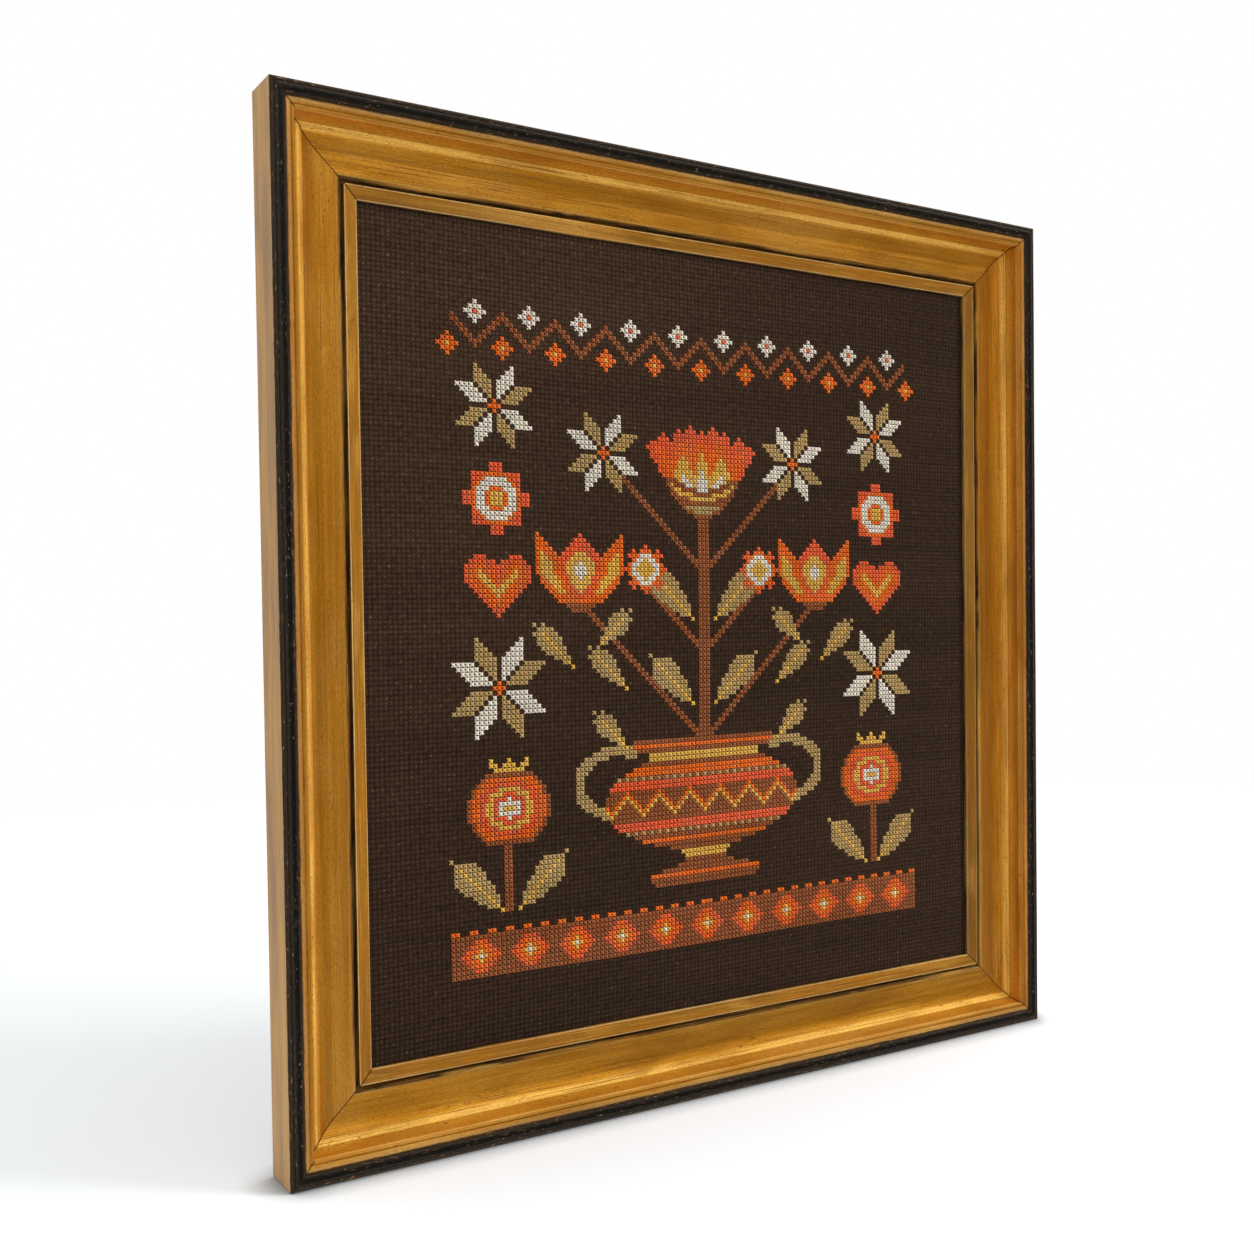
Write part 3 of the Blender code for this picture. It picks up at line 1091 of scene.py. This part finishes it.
def drawBand(chart, y, reach, period, marks):
    # lozenges side by side between two solid rows
    half = 3
    for x in range(reach + 1):
        off = x % period
        for up in range(2 * half + 1):
            far = min(off, period - off) + abs(up - half)
            putStitch(chart, x, y + up, marks[min(far, len(marks) - 1)])
        putStitch(chart, x, y - 1, "B")
        putStitch(chart, x, y + 2 * half + 1, "B")
        if x % 4 < 2:
            putStitch(chart, x, y + 2 * half + 2, "O")


def drawZigzag(chart, y):
    for x in range(60):
        drawRod(chart, x, y + abs(x % 12 - 6), 1, 0, 1)
    for k in range(6):
        drawDiamond(chart, 12 * k, y, "YOO")
        if k < 5:
            drawDiamond(chart, 12 * k + 6, y + 7, "CWW")


def drawSampler():
    chart = {}
    for rod in ((0, 58, 0, 1, 52), (1, 60, 1, 1, 30), (1, 80, 1, 1, 14), (1, 98, 1, 1, 20)):
        drawRod(chart, *rod)
    for frond in ((4, 69, 1, 11), (4, 88, 1, 11), (34, 78, 1, 9), (26, 82, -1, 8), (21, 73, 1, 9),
                  (51, 28, 1, 11), (45, 28, -1, 11), (21, 60, 1, 8)):
        drawFrond(chart, *frond)
    drawUrn(chart, 28)
    drawChart(chart, "carnation", 0, 110)
    drawChart(chart, "tulip", 31, 89)
    drawRosette(chart, 15, 98, 5, "YYWOC")
    drawStar(chart, 25, 123, 4, "WTO")
    drawRod(chart, 48, 27, 0, 1, 14)
    drawChart(chart, "pomegranate", 48, 41)
    drawStar(chart, 50, 73, 5, "WTO")
    drawChart(chart, "heart", 50, 88)
    drawRosette(chart, 50, 112, 7, "YYOWWOCC")
    drawStar(chart, 50, 131, 4, "WTO")
    drawBand(chart, 15, 61, 11, "WYOOCB")
    drawZigzag(chart, 143)
    return chart


# Stitches: two legs crossed over each cell, from hole to hole

stitch = {
    "width": 1.12 * mm,
    "thickness": 0.46 * mm,
    "lift": (0.34 * mm, 0.74 * mm),        # how far the first and the second leg stand off the cloth
    "jitter": 0.07 * mm,
    "widthSpread": (0.88, 1.12),
    "liftSpread": (0.92, 1.08),
    "tips": (0.03, 0.97),                  # where a leg dives into its holes, and how deep
    "tipDepth": 0.25 * mm,
    "plies": 6,
    "plyTurns": 1.4,                       # of each ply along a leg
    "rings": (                             # shares of the leg's length, width and lift
        (0.14, 0.78, 0.42), (0.5, 1.0, 1.0), (0.86, 0.78, 0.42),
    ),
    "sides": 6,
    "seed": 11,
}


def threadMaterial(name, tone):
    mat, tree, shader = startMaterial("thread_" + name, {
        "Roughness": 0.72, "Specular IOR Level": 0.25, "Sheen Weight": 0.08, "Sheen Roughness": 0.4})
    strand = attribute(tree, "strand")     # along the leg, around it, a number for each stitch
    along, around, chance = parts(tree, strand)
    place = objectPlace(tree)
    lots = noise(tree, place, (9, 9, 60))
    dark = tuple(part * 0.66 for part in tone)
    pale = tuple(min(1.0, part * 1.22 + 0.02) for part in tone)
    colour = tinted(tree, tone, chance, 0.0, 1.0, 0.55, dark)
    colour = tinted(tree, colour, lots, 0.35, 0.65, 0.5, pale)
    # the thread is a few plies laid side by side; painted shade darkens the grooves between them
    turned = maths(tree, "ADD", times(tree, around, 2 * math.pi * stitch["plies"]),
                   times(tree, along, 2 * math.pi * stitch["plyTurns"]))
    plies = maths(tree, "SINE", turned)
    colour = mixed(tree, spread(tree, plies, -1.0, -0.2, 0.45, 0.0), colour, dark)
    fibres = noise(tree, place, (2600, 2600, 2600))
    normal = bumped(tree, plies, 0.05 * mm, 0.8)
    dress(tree, shader, colour, bumped(tree, fibres, 0.04 * mm, 0.7, normal))
    return mat


def legPoints(start, end, lift, rng):
    # tips in the holes, rings of a flat oval between; start and end are (count, 2) in X and Z
    count = len(start)
    run = end - start
    length = np.hypot(run[:, 0], run[:, 1])[:, None]
    ahead = run / length
    across = np.stack((-ahead[:, 1], ahead[:, 0]), 1)
    width = stitch["width"] * rng.uniform(*stitch["widthSpread"], count)[:, None]
    points = []
    strands = []
    tipDepth = clothFront + stitch["tipDepth"]
    for share in stitch["tips"]:
        tip = start + run * share
        points.append(np.stack((tip[:, 0], np.full(count, tipDepth), tip[:, 1]), 1)[:, None, :])
        strands.append(np.full((count, 1), share))
    for share, widthShare, liftShare in stitch["rings"]:
        centre = start + run * share + rng.normal(0, stitch["jitter"], (count, 1)) * across
        height = clothFront - lift * liftShare * rng.uniform(*stitch["liftSpread"], count)
        angle = np.arange(stitch["sides"]) * 2 * math.pi / stitch["sides"] + math.pi / 2
        wide = np.cos(angle)[None, :, None] * across[:, None, :] * width[:, None, :] / 2 * widthShare
        flat = centre[:, None, :] + wide
        tall = np.sin(angle)[None, :] * stitch["thickness"] / 2
        points.append(np.stack((flat[..., 0], height[:, None] + tall, flat[..., 1]), -1))
        strands.append(np.full((count, stitch["sides"]), share))
    return np.concatenate(points, 1), np.concatenate(strands, 1)


def legFaces():
    count = stitch["sides"]
    rings = len(stitch["rings"])
    faces = []
    for k in range(count):
        j = (k + 1) % count
        faces.append((0, 2 + k, 2 + j))
        faces.append((1, 2 + (rings - 1) * count + j, 2 + (rings - 1) * count + k))
        for ring in range(rings - 1):
            a = 2 + ring * count
            faces.append((a + k, a + count + k, a + count + j, a + j))
    return faces


def addThread(mark, cells, rng):
    name, tone = threads[mark]
    column, row = np.array(cells, float).T
    pattern = legFaces()
    chance = rng.uniform(0, 1, len(cells))
    perLeg = 2 + stitch["sides"] * len(stitch["rings"])
    turns = np.arange(stitch["sides"]) / stitch["sides"]
    around = np.concatenate(((0, 0), np.tile(turns, len(stitch["rings"]))))
    points = []
    strands = []
    faces = []
    for foot, lift in enumerate(stitch["lift"]):      # the first leg leans right, the second left
        start = np.stack(weavePoint(column + foot, row), 1)
        end = np.stack(weavePoint(column + 1 - foot, row + 1), 1)
        legs, along = legPoints(start, end, lift, rng)
        base = sum(len(block) for block in points)
        points.append(legs.reshape(-1, 3))
        strands.append(np.stack((along, np.broadcast_to(around, along.shape),
                                 np.broadcast_to(chance[:, None], along.shape)), -1).reshape(-1, 3))
        for leg in range(len(cells)):
            offset = base + leg * perLeg
            faces += [tuple(offset + index for index in face) for face in pattern]
    mat = threadMaterial(name, tone)
    piece = addPiece("stitches_" + name, np.concatenate(points), faces, mat, smoothAngle=75)
    storeVector(piece, "strand", np.concatenate(strands))
    return piece


def addStitches():
    chart = drawSampler()
    rng = np.random.default_rng(stitch["seed"])
    pieces = []
    for mark in threads:
        cells = sorted(place for place, found in chart.items() if found == mark)
        pieces.append(addThread(mark, cells, rng))
        print("  thread", threads[mark][0], len(cells), "stitches")
    return pieces


stitchPieces = addStitches()
print("stitches ready")


# Board behind the cloth: plain grey-brown card

board = {
    "colour": (0.30, 0.235, 0.16),
    "fleck": (0.13, 0.095, 0.06),
    "pale": (0.46, 0.38, 0.28),
}


def boardMaterial():
    mat, tree, shader = startMaterial("backingCard", {"Roughness": 0.88, "Specular IOR Level": 0.2})
    place = objectPlace(tree)
    pulp = noise(tree, place, 900, 4.0, 0.65)
    cloud = noise(tree, place, 14, 3.0)
    fibres = noise(tree, place, (1900, 1900, 260), 2.0, 0.5, 0.6)
    colour = ramp(tree, pulp, ((0.3, board["colour"]), (0.7, board["pale"])))
    colour = tinted(tree, colour, cloud, 0.3, 0.7, 0.35, board["colour"])
    colour = mixed(tree, ramp(tree, fibres, ((0.66, 0.0), (0.72, 0.8))), colour, board["fleck"])
    normal = bumped(tree, pulp, 0.1 * mm, 0.6)
    dress(tree, shader, colour, bumped(tree, fibres, 0.06 * mm, 0.5, normal))
    return mat


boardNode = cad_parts["backing_board"]
cardMaterial = boardMaterial()
for row in boardNode.material_slots:
    row.material = cardMaterial
print("board ready")
